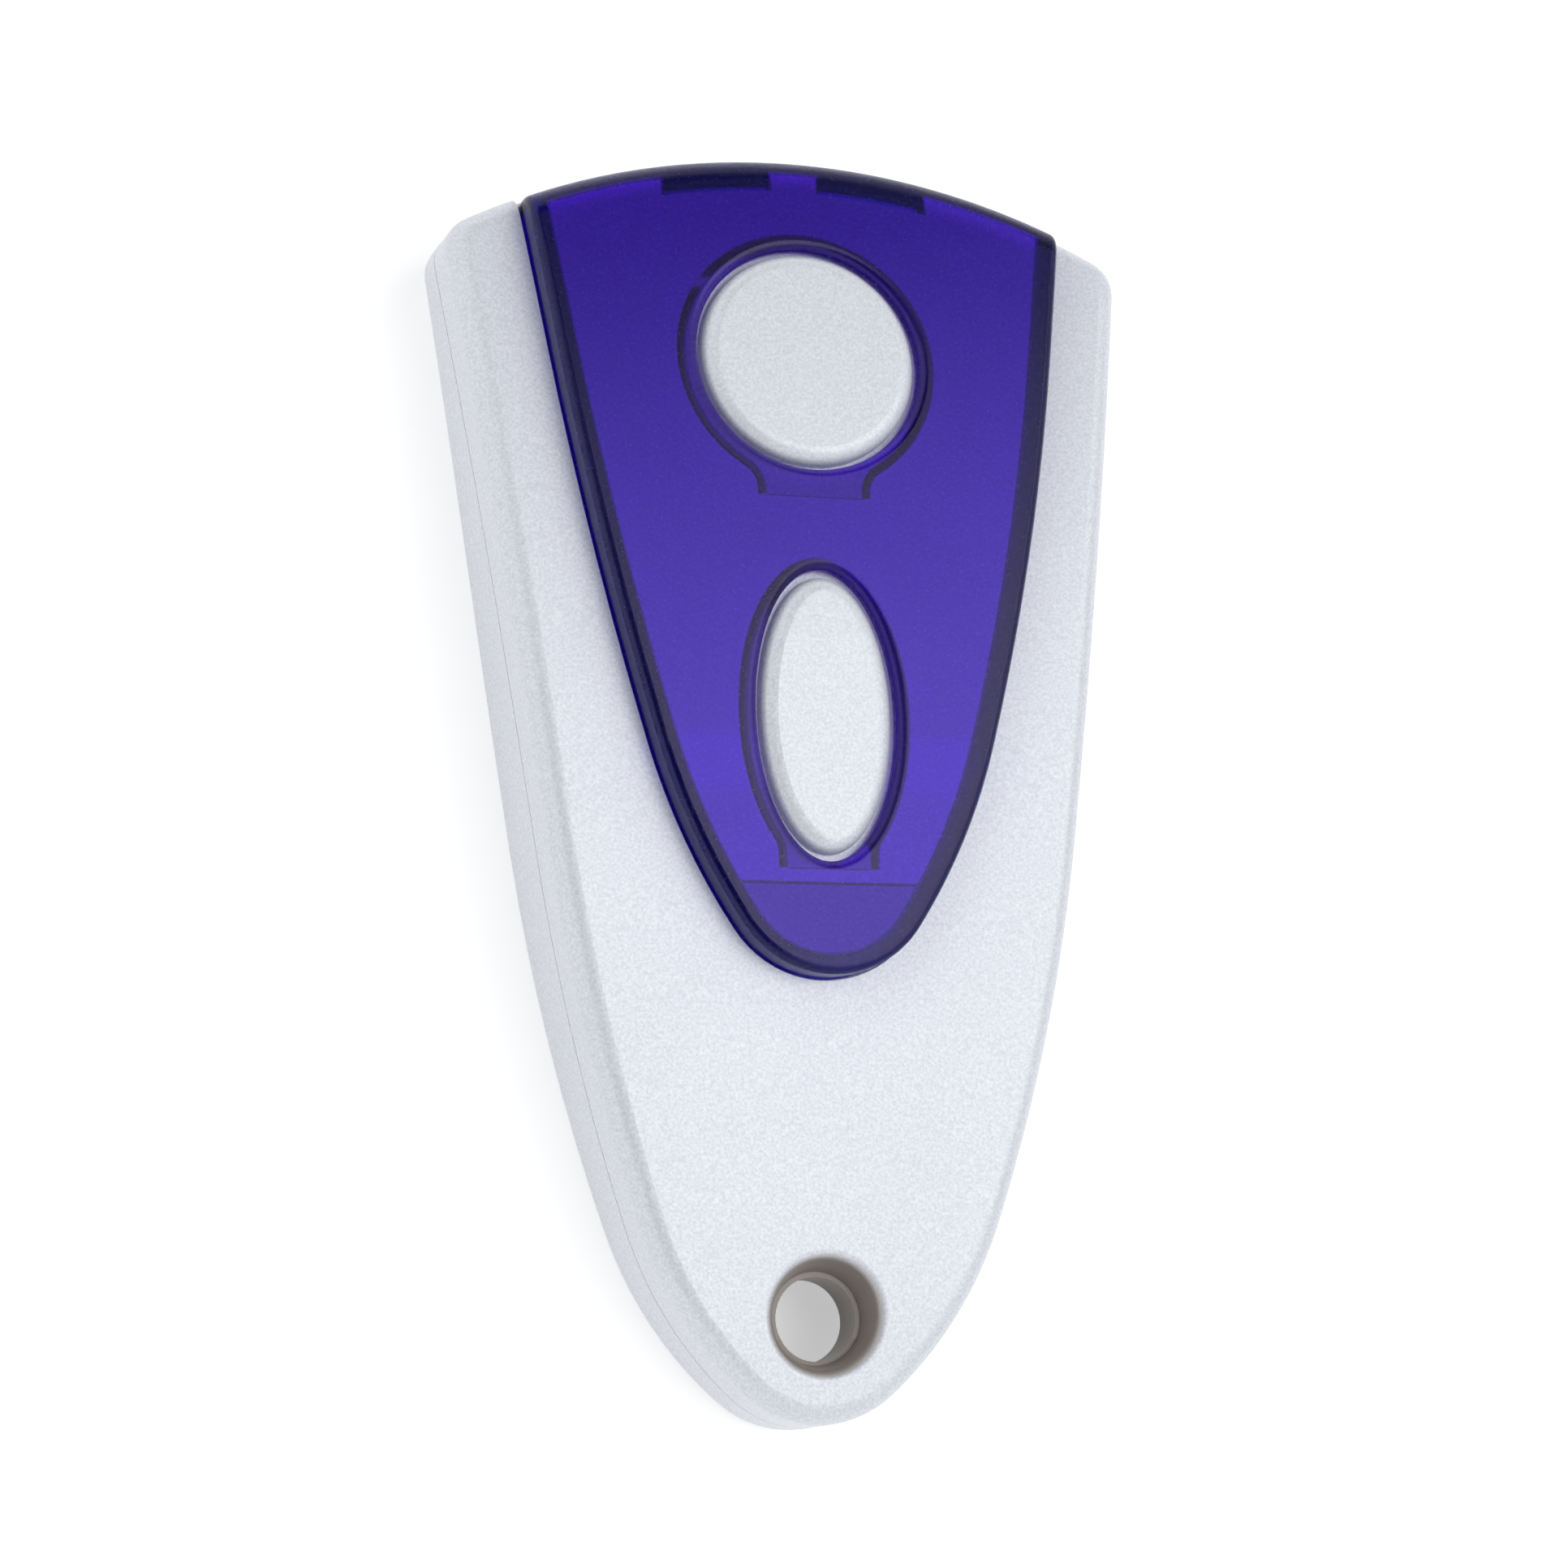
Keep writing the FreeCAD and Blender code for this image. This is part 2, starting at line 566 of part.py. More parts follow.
def rear_shell():
    """The white tray: flat back, lip, board pegs, screw bosses and the cradle for the cell."""
    shell = layer("rear_block", column("rear_column", BODY), PARTING + " + seam_gap")
    at_back = lambda edge: edge.BoundBox.ZMax < CLOSE
    run = lambda edge: at_back(edge) and edge.Curve.TypeId == "Part::GeomLine"
    at_end = lambda edge: at_back(edge) and not run(edge) and (
        edge.BoundBox.YMin > size("body_length/4"))
    low = lambda edge: at_back(edge) and not run(edge) and not at_end(edge)
    shell = round_edges("rear_rounded", shell, (low, "back_edge_radius"),
                        (run, "back_edge_radius", "back_end_radius"),
                        (at_end, "back_end_radius"))
    shell = cut("rear_tray", shell, column("rear_room", BODY, "shell_wall", None, "back_wall"))
    lip = layer("rear_lip", column("lip_column", BODY, "shell_wall - lip_width"),
                PARTING + " - lip_height", PARTING + " + 2*seam_gap")
    lip = cut("rear_lip_ring", lip, column("lip_room", BODY, "shell_wall"))
    cradle = cut("cradle", rod("cradle_outer", "cell_radius + cradle_gap + cradle_wall",
                               "cradle_height + back_wall/2", "0", CELL_Y, "back_wall/2"),
                 rod("cradle_inner", "cell_radius + cradle_gap", "body_thickness", "0", CELL_Y),
                 box("cradle_notch", "body_length", "cradle_notch", "body_thickness",
                     "0", CELL_Y, "back_wall"))
    cradle = common("cradle_trimmed", cradle, column("cradle_bound", BODY, "shell_wall/2"))
    items = [cradle, lip]
    for name, x, y in PEGS:
        items.append(rod("rear_peg_" + name, "peg_radius", "board_bottom - back_wall/2", x, y,
                         "back_wall/2"))
        items.append(rod("rear_pin_" + name, "pin_radius", BOARD_TOP + " - back_wall", x, y,
                         "back_wall"))
    for name, x, y in SCREWS:
        items.append(rod("rear_boss_" + name,
                         "screw_head_radius + screw_clearance + screw_boss_wall",
                         BOSS_JOINT + " - back_wall/2", x, y, "back_wall/2"))
    ring_boss = rod("rear_ring_rod", "ring_boss_radius", "ring_throat_top - back_wall/2",
                    "0", RING_Y, "back_wall/2")
    items.append(layer("rear_ring_boss", ring_boss, LEDGE + " + seam_gap"))
    shell = fuse("rear_joined", shell, *items)
    tools = [rod("ring_throat", "ring_radius", "body_thickness", "0", RING_Y),
             cone("ring_flare", "ring_back_radius", "ring_radius", "ring_throat_bottom", "0",
                  RING_Y)]
    for name, x, y in SCREWS:
        tools.append(rod("head_room_" + name, "screw_head_radius + screw_clearance", SCREW_SEAT,
                         x, y))
        tools.append(rod("shank_room_" + name, "screw_radius + screw_clearance",
                         "body_thickness", x, y))
    finish(cut("rear_drilled", shell, *tools), "rear_shell")


def wide_end_rim(edge):
    """Whether an edge is where the cover's top meets its wide end."""
    reach = size("end_radius - cover_end_inset")
    span = edge.LastParameter - edge.FirstParameter
    points = [edge.valueAt(edge.FirstParameter + share * span) for share in (0.1, 0.5, 0.9)]
    return on_crown(edge, "0") and all(
        p.y > 0 and abs(math.hypot(p.x, p.y - size(END_CENTRE)) - reach) < CLOSE for p in points)


def cover_block():
    """The cover's outer form, rounded over at its wide end, down to the apron's edge."""
    bound = common("cover_bound", crown("cover_top", "0"),
                   rod("cover_disc", "end_radius - cover_end_inset", "2*body_thickness",
                       y=END_CENTRE))
    bound = round_edges("cover_bound_rounded", bound, (wide_end_rim, "cover_end_radius"))
    block = common("cover_outline", column("cover_column", COVER, "0", "-end_wall"), bound)
    return cut("cover_block", block, crown("cover_block_bottom", "apron_height"))


def translucent_cover():
    """A crowned plate with a skirt, an apron over the wide end and two snap pads behind it."""
    below = cut("cover_below", crown("cover_below_top", PLATE_BOTTOM),
                end_band("cover_apron_band", "-end_wall", "apron_wall"))
    cover = cut("cover_solid", cover_block(), below)
    holes = [pillar("round_hole", "round_radius + button_gap", "round_radius + button_gap",
                    ROUND_Y),
             pillar("oval_hole", "oval_half_width + button_gap",
                    "oval_half_length + oval_end_gap", OVAL_Y)]
    room = layer("cover_room", column("cover_room_column", COVER, "cover_skirt", "apron_wall"),
                 "cover_wall")
    cover = cut("cover_opened", cover, room, *holes)
    hole_rim = lambda edge: on_crown(edge, "0") and (
        near_axis(edge, size(ROUND_Y), size("round_radius + 2*button_gap"))
        or near_axis(edge, size(OVAL_Y), size("oval_half_length + 2*oval_end_gap")))
    outer_rim = lambda edge: on_crown(edge, "0") and not hole_rim(edge)
    cover = round_edges("cover_rounded", cover, (outer_rim, "cover_edge_radius"),
                        (hole_rim, "hole_rim_radius"))
    cover = fuse("cover_joined", cover, clip_blocks("clip_pad", "0", False),
                 clip_blocks("clip_barbs", "0", True))
    finish(cover, "translucent_cover")


def button_shape(kind, y, half_width, half_length, grow):
    """A button's flange and tongue seen from above, made larger by the slot round it."""
    flange = "%s_flange + %s" % (kind, grow)
    name = "%s_%s" % (kind, "slot" if grow != "0" else "tongue")
    blade = pillar(name + "_disc", "%s + %s" % (half_width, flange),
                   "%s + %s" % (half_length, flange), y)
    root = "%s_root" % kind
    neck = box(name + "_neck", "%s_neck + 2*%s" % (kind, grow), root, "body_thickness", "0",
               "%s - %s/2" % (y, root))
    keep = box(name + "_keep", "body_length", "body_length", "body_thickness", "0",
               "%s - %s + body_length/2" % (y, root))
    return common(name + "_kept", fuse(name + "_joined", blade, neck), keep)


def neck_corner(kind, y, edge):
    """Whether an edge is where a neck leaves its flange."""
    low = size("%s - %s_root + neck_fillet/4" % (y, kind))
    return upright(edge) and low < edge.Vertexes[0].Y < size(y)


def button_plate():
    """The white frame under the cover, slotted round each tongue."""
    side = "cover_skirt + plate_side_gap"
    plate = layer("plate_block", column("plate_column", COVER, side,
                                        "apron_wall + plate_side_gap"),
                  PLATE_TOP, PLATE_BOTTOM)
    keep = box("plate_keep", "body_length", "body_length", "body_thickness", "0",
               PLATE_LOW_Y + " + body_length/2")
    plate = common("plate_kept", plate, keep)
    slots = [clip_blocks("plate_clip_room", "plate_side_gap", False)]
    for kind, y, half_width, half_length in BUTTONS:
        slot = button_shape(kind, y, half_width, half_length, "slot_width")
        corner = lambda edge: neck_corner(kind, y, edge)
        slots.append(round_edges(kind + "_slot_rounded", slot,
                                 (corner, "neck_fillet - slot_width")))
        slots.append(box(kind + "_root_gap", "%s_neck" % kind, "2*root_gap", "body_thickness",
                         "0", "%s - %s_root" % (y, kind)))
    finish(cut("plate_slotted", plate, *slots), "button_plate")


def button(kind, y, half_width, half_length):
    """A cap on its flange and tongue, hollow underneath, with a post over its switch."""
    cap = layer(kind + "_cap", pillar(kind + "_cap_block", half_width, half_length, y),
                "-button_proud", PLATE_BOTTOM)
    cap = round_edges(kind + "_cap_edge", cap,
                      (lambda edge: on_crown(edge, "-button_proud"), "button_edge_radius"))
    blade = button_shape(kind, y, half_width, half_length, "0")
    blade = round_edges(kind + "_tongue_rounded", blade,
                        (lambda edge: neck_corner(kind, y, edge), "neck_fillet"))
    blade = layer(kind + "_flange", blade, PLATE_TOP, PLATE_TOP + " + tongue_wall")
    hollow = layer(kind + "_hollow",
                   pillar(kind + "_hollow_block", half_width + " - button_wall",
                          half_length + " - button_wall", y), "button_wall")
    post_top = crown_height("(button_wall/2)", y)
    post = rod(kind + "_post", "post_radius", "%s - %s - switch_gap" % (post_top, PLUNGER_TOP),
               "0", y, PLUNGER_TOP + " + switch_gap")
    solid = cut(kind + "_button_hollow", fuse(kind + "_button_solid", cap, blade), hollow)
    finish(fuse(kind + "_button_joined", solid, post), kind + "_button")


def circuit_board():
    """The board: holes for the pegs' pins and notches that the screw bosses pass."""
    board = column("board_column", BODY, "board_inset", "end_wall + board_gap", "board_bottom",
                   BOARD_TOP)
    board = common("board_blank", board,
                   box("board_keep", "body_length", "%s - %s" % (BOARD_HIGH_Y, BOARD_LOW_Y),
                       "body_thickness", "0", "(%s + %s)/2" % (BOARD_HIGH_Y, BOARD_LOW_Y)))
    tools = [rod("board_hole_" + name, "pin_radius + pin_clearance", "body_thickness", x, y)
             for name, x, y in PEGS]
    notch = "front_boss_radius + board_gap"
    for name, x, y in SCREWS[:2]:
        outward = "-front_boss_radius" if x.startswith("-") else "front_boss_radius"
        tools.append(rod("board_notch_" + name, notch, "body_thickness", x, y))
        tools.append(box("board_mouth_" + name, "2*front_boss_radius", "2*(%s)" % notch,
                         "body_thickness", "%s + %s" % (x, outward), y))
    finish(cut("board_drilled", board, *tools), "circuit_board")


def tactile_switch(kind, y):
    """A switch: a base with a well, a snapped dome, a plunger and a steel frame on top."""
    base = plate_body(kind + "_base_body", "switch_width", "switch_height", "0",
                      "switch_well_radius", "switch_height - switch_floor", "switch_floor")
    finish(place(base, "0", y, BOARD_TOP), kind + "_switch_base")

    rim = "(switch_well_radius - plunger_clearance)"
    dome = turned(kind + "_dome_body", [
        ("0", "dome_rise - dome_wall"), ("dome_flat_radius", "dome_rise - dome_wall"),
        (rim + " - dome_wall", "0"), (rim, "0"), (rim, "dome_wall/2"),
        ("dome_flat_radius + dome_wall/2", "dome_rise"), ("0", "dome_rise")])
    finish(place(dome, "0", y, BOARD_TOP + " + switch_floor"), kind + "_switch_dome")

    flange_top = "switch_height - dome_wall/2"
    flange_low = "switch_height - dome_wall/2 - plunger_flange_wall"
    edge = "dome_wall"
    plunger = turned(kind + "_plunger_body", [
        ("0", flange_low), ("plunger_flange", flange_low), ("plunger_flange", flange_top),
        ("plunger_radius", flange_top), ("plunger_radius", "plunger_top - " + edge),
        ("plunger_radius - " + edge, "plunger_top"), ("0", "plunger_top")])
    finish(place(plunger, "0", y, BOARD_TOP), kind + "_switch_plunger")

    frame = plate_body(kind + "_frame_body", "switch_width", "frame_wall", "switch_height",
                       "plunger_radius + plunger_clearance", "frame_wall", "switch_height")
    finish(place(frame, "0", y, BOARD_TOP), kind + "_switch_frame")


def coin_cell():
    """The cell: a can with its positive face to the back, a gasket and the negative cap."""
    shoulder = "cell_height - 1.5*can_wall"
    crimp = "cell_height - can_wall/2"
    inner = "cell_radius - can_wall"
    lid_radius = "cell_radius - can_wall - gasket_width"
    can = turned("cell_can_body", [
        ("0", "0"), ("cell_radius", "0"), ("cell_radius", shoulder),
        ("cell_radius - can_wall", crimp), ("cell_radius - 2.5*can_wall", crimp),
        ("cell_radius - 2.5*can_wall", shoulder), (inner, shoulder), (inner, "can_wall"),
        ("0", "can_wall")])
    finish(place(can, "0", CELL_Y, CELL_BOTTOM), "cell_can")
    gasket = turned("cell_gasket_body", [(lid_radius, "can_wall"), (inner, "can_wall"),
                                         (inner, shoulder), (lid_radius, shoulder)])
    finish(place(gasket, "0", CELL_Y, CELL_BOTTOM), "cell_gasket")
    lid = turned("cell_cap_body", [
        ("0", "can_wall"), (lid_radius, "can_wall"), (lid_radius, shoulder),
        (lid_radius + " - can_wall", "cell_height"), ("0", "cell_height")])
    finish(place(lid, "0", CELL_Y, CELL_BOTTOM), "cell_cap")


def contacts():
    """A leaf between the cap and the board, and a bent tab beside the can."""
    leaf = box("negative_leaf", "leaf_length", "contact_width", "board_bottom - " + CELL_TOP,
               "0", CELL_Y, CELL_TOP)
    finish(leaf, "negative_contact")
    inner = "cell_radius + cradle_gap/4"
    tab_foot = "%s + cell_height/4" % CELL_BOTTOM
    tab = box("positive_tab", "contact_wall", "contact_width", "board_bottom - (%s)" % tab_foot,
              inner + " + contact_wall/2", CELL_Y, tab_foot)
    foot = box("positive_foot", "foot_length", "contact_width", "contact_wall",
               inner + " + foot_length/2", CELL_Y, "board_bottom - contact_wall")
    finish(fuse("positive_strip", tab, foot), "positive_contact")


def chip_group(name, wide, deep, high, spots):
    """Small parts of one kind on the board, as separate solids of one sub-part."""
    blocks = [box("%s_%d" % (name, i), wide, deep, high, x, y, BOARD_TOP)
              for i, (x, y) in enumerate(spots)]
    finish(fuse(name + "_group", *blocks), name)


def board_parts():
    """The controller, the resonator, the light, the chip parts and the antenna."""
    finish(box("chip_block", "chip_length", "chip_width", "chip_height", "chip_x", CHIP_Y,
               BOARD_TOP + " + chip_lift"), "microcontroller")
    pins = []
    for row in ("-", "+"):
        for i in range(4):
            pins.append(("chip_x + pin_pitch*(%s)" % (i - 1.5),
                         "%s %s (chip_width + pin_reach)/2" % (CHIP_Y, row)))
    chip_group("microcontroller_pins", "pin_width", "pin_reach", "pin_height", pins)
    finish(rod("resonator_disc", "resonator_radius + resonator_rim", "resonator_base_wall",
               "-resonator_x", CHIP_Y, BOARD_TOP), "resonator_base")
    finish(rod("resonator_block", "resonator_radius", "resonator_height", "-resonator_x",
               CHIP_Y, BOARD_TOP + " + resonator_base_wall"), "resonator_can")
    finish(box("led_block", "led_length", "led_width", "led_base_height", "0", LED_Y,
               BOARD_TOP), "led_base")
    finish(box("led_window", "led_lens_length", "led_width", "led_lens_height", "0", LED_Y,
               BOARD_TOP + " + led_base_height"), "led_lens")
    for name, kind, spots in (("chip_capacitors", "capacitor", CAPACITORS),
                              ("chip_resistors", "resistor", RESISTORS)):
        chip_group(name, kind + "_length", kind + "_width", kind + "_height",
                   [(str(x), "body_length/2 - %s" % back) for x, back in spots])
    bar = box("antenna_bar", "2*antenna_half_width", "antenna_wire", "antenna_wire", "0",
              ANTENNA_Y, BOARD_TOP)
    legs = [box("antenna_leg_" + side, "antenna_wire", "antenna_leg", "antenna_wire",
                "%s(antenna_half_width - antenna_wire/2)" % sign,
                ANTENNA_Y + " - antenna_leg/2", BOARD_TOP)
            for side, sign in (("right", ""), ("left", "-"))]
    finish(fuse("antenna_loop", bar, *legs), "antenna_wire")


def case_screws():
    """Three alike self-tapping screws from the back."""
    screws = []
    tip = "screw_head_height + screw_length"
    for name, x, y in SCREWS:
        screw = turned("screw_%s_body" % name, [
            ("0", "0"), ("screw_head_radius - screw_chamfer", "0"),
            ("screw_head_radius", "screw_chamfer"),
            ("screw_head_radius", "screw_head_height"), ("screw_radius", "screw_head_height"),
            ("screw_radius", tip + " - screw_point"), ("screw_radius/4", tip), ("0", tip)])
        screws.append(place(screw, x, y, "screw_recess"))
    finish(fuse("screw_group", *screws), "case_screws")


def write_parts():
    """Check every object, then write each sub-part."""
    doc.recompute()
    for item in doc.Objects:
        if "Invalid" in item.State or "Error" in item.State:
            raise ValueError("%s failed: %s" % (item.Name, item.State))
    os.makedirs("parts", exist_ok=True)
    for item in PIECES:
        shape = item.Shape
        if shape.isNull() or not shape.isValid() or not shape.Solids:
            raise ValueError(item.Label + " has no valid solid")
        shape.exportStep("parts/%s.step" % item.Label)
        print("%-22s solids %d volume %.1f" % (item.Label, len(shape.Solids), shape.Volume))


front_shell()
rear_shell()
translucent_cover()
button_plate()
for kind, y, half_width, half_length in BUTTONS:
    button(kind, y, half_width, half_length)
    tactile_switch(kind, y)
circuit_board()
coin_cell()
contacts()
board_parts()
case_screws()
write_parts()
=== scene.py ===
import json
import math

import bpy
from mathutils import Matrix, Vector

# Garage door remote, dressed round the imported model: a material for each node, a pale floor, the
# studio's light and the camera. Lengths are in metres, +Z out of the front and +Y towards the
# wide end.
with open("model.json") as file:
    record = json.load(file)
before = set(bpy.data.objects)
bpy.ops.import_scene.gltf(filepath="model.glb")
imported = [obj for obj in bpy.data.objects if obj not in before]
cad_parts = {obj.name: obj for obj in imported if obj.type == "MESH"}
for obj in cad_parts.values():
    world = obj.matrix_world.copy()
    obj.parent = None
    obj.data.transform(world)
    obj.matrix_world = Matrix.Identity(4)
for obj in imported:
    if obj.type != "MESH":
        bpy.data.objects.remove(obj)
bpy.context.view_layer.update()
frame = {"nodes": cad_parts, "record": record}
nodes = frame["nodes"]
MM = 0.001

# Camera, recovered from the photograph: where it stands and its own three axes
PHOTO_SIZE = 1932
FOCAL_PIXELS = 5319.5
SENSOR = 36.0
NEAREST = 0.01
FARTHEST = 20
CAMERA_PLACE = Vector((-75.80, -45.20, 229.39)) * MM
CAMERA_RIGHT = Vector((0.9495833, -0.0312936, 0.3119496))
CAMERA_UP = Vector((-0.0292004, 0.9818527, 0.1873841))
CAMERA_BACK = Vector((-0.3121525, -0.1870459, 0.9314372))

# The studio: a dome that is brighter to the left, with a soft box over the right shoulder and
# dark patches where the camera stands and behind the wide end. A patch is full up to its inner
# angle, in degrees from its middle, and gone at its outer one.
AMBIENT = 0.91
AMBIENT_LEAN = Vector((-0.25, 0.0, 0.0))
SOFT_BOX = {"direction": (0.44, 0.07, 0.90), "inner": 8.0, "outer": 32.0, "level": 1.85}
DARK_PATCHES = [
    {"direction": (-0.34, -0.19, 0.92), "inner": 18.0, "outer": 38.0, "level": 0.97},
    {"direction": (0.14, 0.58, 0.80), "inner": 15.0, "outer": 28.0, "level": 1.0},
]
BACKDROP = 1.0
WHITE = (1, 1, 1, 1)

# The floor: what it reflects, what it adds where it is seen directly, its size and how far below
# the part it lies. Light that leaves the part's back within the contact's reach of the floor
# passes through it at its first bounce, so the back isn't black when it is seen from below.
FLOOR_COLOUR = (0.82, 0.82, 0.82, 1)
FLOOR_GLOW = 0.47
FLOOR_HALF = 1.5
FLOOR_DROP = 0.05 * MM
CONTACT_REACH = 0.12 * MM
PAST_FIRST_BOUNCE = 1.5

# Noise in the materials: how many octaves the fine grain, a slow change and scratches have, how
# rough the first two are, and the range that nearly all of it lies in
GRAIN_DETAIL = 3.0
DRIFT_DETAIL = 2.0
SCRATCH_DETAIL = 4.0
NOISE_ROUGHNESS = 0.55
NOISE_LOW = 0.3
NOISE_HIGH = 0.7

# Pearl white: its grain, the slow change of its gloss over the surface, and how much of its light
# comes off its pearl flakes, outside and under the cover
PEARL_GRAIN = {"scale": 6000.0, "dark": (0.67, 0.70, 0.77), "light": (0.87, 0.895, 0.96)}
PEARL_DEPTH = 0.012 * MM
PEARL_DRIFT = 60.0
PEARL_ROUGHNESS = (0.30, 0.36)
PEARL_SHARE = 0.12
FRAME_PEARL_SHARE = 0.4

# The key ring hole's axis and the radii over which the pearl finish gives way to painted shade
RING_AXIS = Vector((0.0, -29.9, 0.0)) * MM
HOLE_SHADE_FULL_RADIUS = 3.05 * MM
HOLE_SHADE_END_RADIUS = 3.45 * MM
# The dark brown-grey painted on the hole's walls as shade
HOLE_PAINTED_SHADE = (0.30, 0.265, 0.24)

# Violet: its satin top, its slow change of tone, its gloss, what its shadow lets through, and what
# a metre of it takes out of red, green and blue
SATIN_SCALE = 6500.0
SATIN_DEPTH = 0.003 * MM
SATIN_ROUGHNESS = (0.20, 0.28)
VIOLET_DRIFT = {"scale": 45.0, "dark": (0.90, 0.90, 0.94), "light": (0.94, 0.94, 0.98)}
VIOLET_IOR = 1.49
VIOLET_SHINE = (0.72, 0.64, 0.95, 1.0)
VIOLET_SHADOW = (0.95, 0.95, 0.97, 1)
VIOLET_TAKES = (1500.0, 2400.0, 330.0)

# Plain plastics and metals: the dark and the light of the grain, and the roughness
PLASTICS = {
    "black_plastic": ((0.018, 0.018, 0.02), (0.035, 0.035, 0.038), 0.45),
    "ivory_plastic": ((0.68, 0.62, 0.5), (0.76, 0.7, 0.58), 0.4),
    "ceramic": ((0.36, 0.25, 0.16), (0.48, 0.35, 0.24), 0.6),
}
PLASTIC_SCALE = 2500.0
PLASTIC_DEPTH = 0.01 * MM
PLASTIC_SPREAD = 0.05
METALS = {
    "steel": ((0.5, 0.5, 0.51), (0.66, 0.66, 0.67), 0.32),
    "screw_steel": ((0.42, 0.42, 0.43), (0.58, 0.58, 0.58), 0.36),
    "nickel": ((0.6, 0.59, 0.56), (0.74, 0.73, 0.7), 0.22),
    "copper_tin": ((0.6, 0.57, 0.5), (0.74, 0.71, 0.64), 0.3),
}
METAL_STRETCH = (1.0, 12.0, 1.0)
METAL_SCALE = 1500.0
METAL_DEPTH = 0.004 * MM
METAL_SPREAD = (0.06, 0.08)

# The board's tracks as the edges of cells, and the lens
BOARD = {"scale": 420.0, "dark": (0.012, 0.12, 0.045), "light": (0.03, 0.22, 0.08)}
TRACK_EDGE = (0.05, 0.07)
TRACK_HEIGHT = 0.03 * MM
BOARD_ROUGHNESS = 0.32
LENS = {"scale": 1800.0, "dark": (0.75, 0.06, 0.04), "light": (0.9, 0.12, 0.08)}
LENS_ROUGHNESS = (0.08, 0.14)
LENS_CLEAR = 0.5
LENS_IOR = 1.5


def make_camera():
    """The photograph's own camera."""
    data = bpy.data.cameras.new("camera")
    data.sensor_width = SENSOR
    data.lens = FOCAL_PIXELS / PHOTO_SIZE * SENSOR
    data.clip_start = NEAREST
    data.clip_end = FARTHEST
    item = bpy.data.objects.new("camera", data)
    turn = Matrix((CAMERA_RIGHT, CAMERA_UP, CAMERA_BACK)).transposed()
    item.matrix_world = Matrix.Translation(CAMERA_PLACE) @ turn.to_4x4()
    bpy.context.scene.collection.objects.link(item)
    bpy.context.scene.camera = item


# Shader helpers

def new_material(name):
    """An empty material with its output node."""
    material = bpy.data.materials.new(name)
    material.use_nodes = True
    tree = material.node_tree
    tree.nodes.clear()
    return material, tree, tree.nodes.new("ShaderNodeOutputMaterial")


def node(tree, kind, **values):
    """A node with properties or, where the name is an input's, input values."""
    made = tree.nodes.new("ShaderNode" + kind)
    for key, value in values.items():
        if hasattr(made, key):
            setattr(made, key, value)
        else:
            made.inputs[key.replace("_", " ").title()].default_value = value
    return made


def coloured(tree, kind, colour):
    """A shader with one plain colour."""
    made = node(tree, kind)
    made.inputs["Color"].default_value = colour
    return made


def feed(tree, socket, value):
    """Give an input a value, which is another node's output or a plain one."""
    if isinstance(value, bpy.types.NodeSocket):
        tree.links.new(value, socket)
    else:
        socket.default_value = value


def combined(tree, operation, first, second):
    """Two numbers put together, each an output or a plain number."""
    made = node(tree, "Math", operation=operation)
    feed(tree, made.inputs[0], first)
    feed(tree, made.inputs[1], second)
    return made.outputs[0]


def vectors(tree, operation, first, second):
    """Two vectors put together by an operation."""
    made = node(tree, "VectorMath", operation=operation)
    feed(tree, made.inputs[0], first)
    feed(tree, made.inputs[1], second)
    return made


def mixed_shaders(tree, factor, first, second):
    """The first shader where factor is nought, the second where it is one."""
    made = node(tree, "MixShader")
    feed(tree, made.inputs["Fac"], factor)
    feed(tree, made.inputs[1], first)
    feed(tree, made.inputs[2], second)
    return made.outputs["Shader"]


def object_point(tree):
    """The place on the object, which moves with it."""
    return node(tree, "TexCoord").outputs["Object"]


def noise(tree, scale, detail=GRAIN_DETAIL):
    """Noise in the part's own coordinates."""
    made = node(tree, "TexNoise", scale=scale, detail=detail, roughness=NOISE_ROUGHNESS)
    feed(tree, made.inputs["Vector"], object_point(tree))
    return made.outputs["Fac"]


def between(tree, factor, low, high, start=NOISE_LOW, end=NOISE_HIGH):
    """A value that goes from low to high as factor goes from start to end."""
    made = node(tree, "MapRange", from_min=start, from_max=end)
    feed(tree, made.inputs["Value"], factor)
    feed(tree, made.inputs["To Min"], low)
    feed(tree, made.inputs["To Max"], high)
    return made.outputs["Result"]


def mixed(tree, factor, first, second):
    """A colour between a first and a second, each an output or a plain colour."""
    made = node(tree, "Mix", data_type="RGBA")
    feed(tree, made.inputs["Factor"], factor)
    sockets = [socket for socket in made.inputs if socket.type == "RGBA"]
    for socket, value in zip(sockets, (first, second)):
        feed(tree, socket, value if isinstance(value, bpy.types.NodeSocket) else (*value, 1))
    return next(out for out in made.outputs if out.type == "RGBA")


def tint(tree, factor, tones, start=NOISE_LOW, end=NOISE_HIGH):
    """A colour that goes from the dark to the light of some tones."""
    return mixed(tree, between(tree, factor, 0.0, 1.0, start, end), tones["dark"], tones["light"])


def bump(tree, height, distance):
    """A normal that follows a height of so many metres."""
    made = node(tree, "Bump", strength=1.0, distance=distance)
    feed(tree, made.inputs["Height"], height)
    return made.outputs["Normal"]


def principled(tree, output, **values):
    """A Principled shader on the output; values are outputs or plain ones."""
    made = node(tree, "BsdfPrincipled")
    for key, value in values.items():
        feed(tree, made.inputs[key.replace("_", " ").title().replace("Ior", "IOR")], value)
    feed(tree, output.inputs["Surface"], made.outputs["BSDF"])
    return made


# Materials

def outside_painted_hole_shade(tree):
    """Nought on the key ring hole's walls, where shade is painted, one outside it."""
    flat = vectors(tree, "MULTIPLY", object_point(tree), (1, 1, 0)).outputs["Vector"]
    away = vectors(tree, "DISTANCE", flat, RING_AXIS).outputs["Value"]
    return between(tree, away, 0.0, 1.0, HOLE_SHADE_FULL_RADIUS, HOLE_SHADE_END_RADIUS)


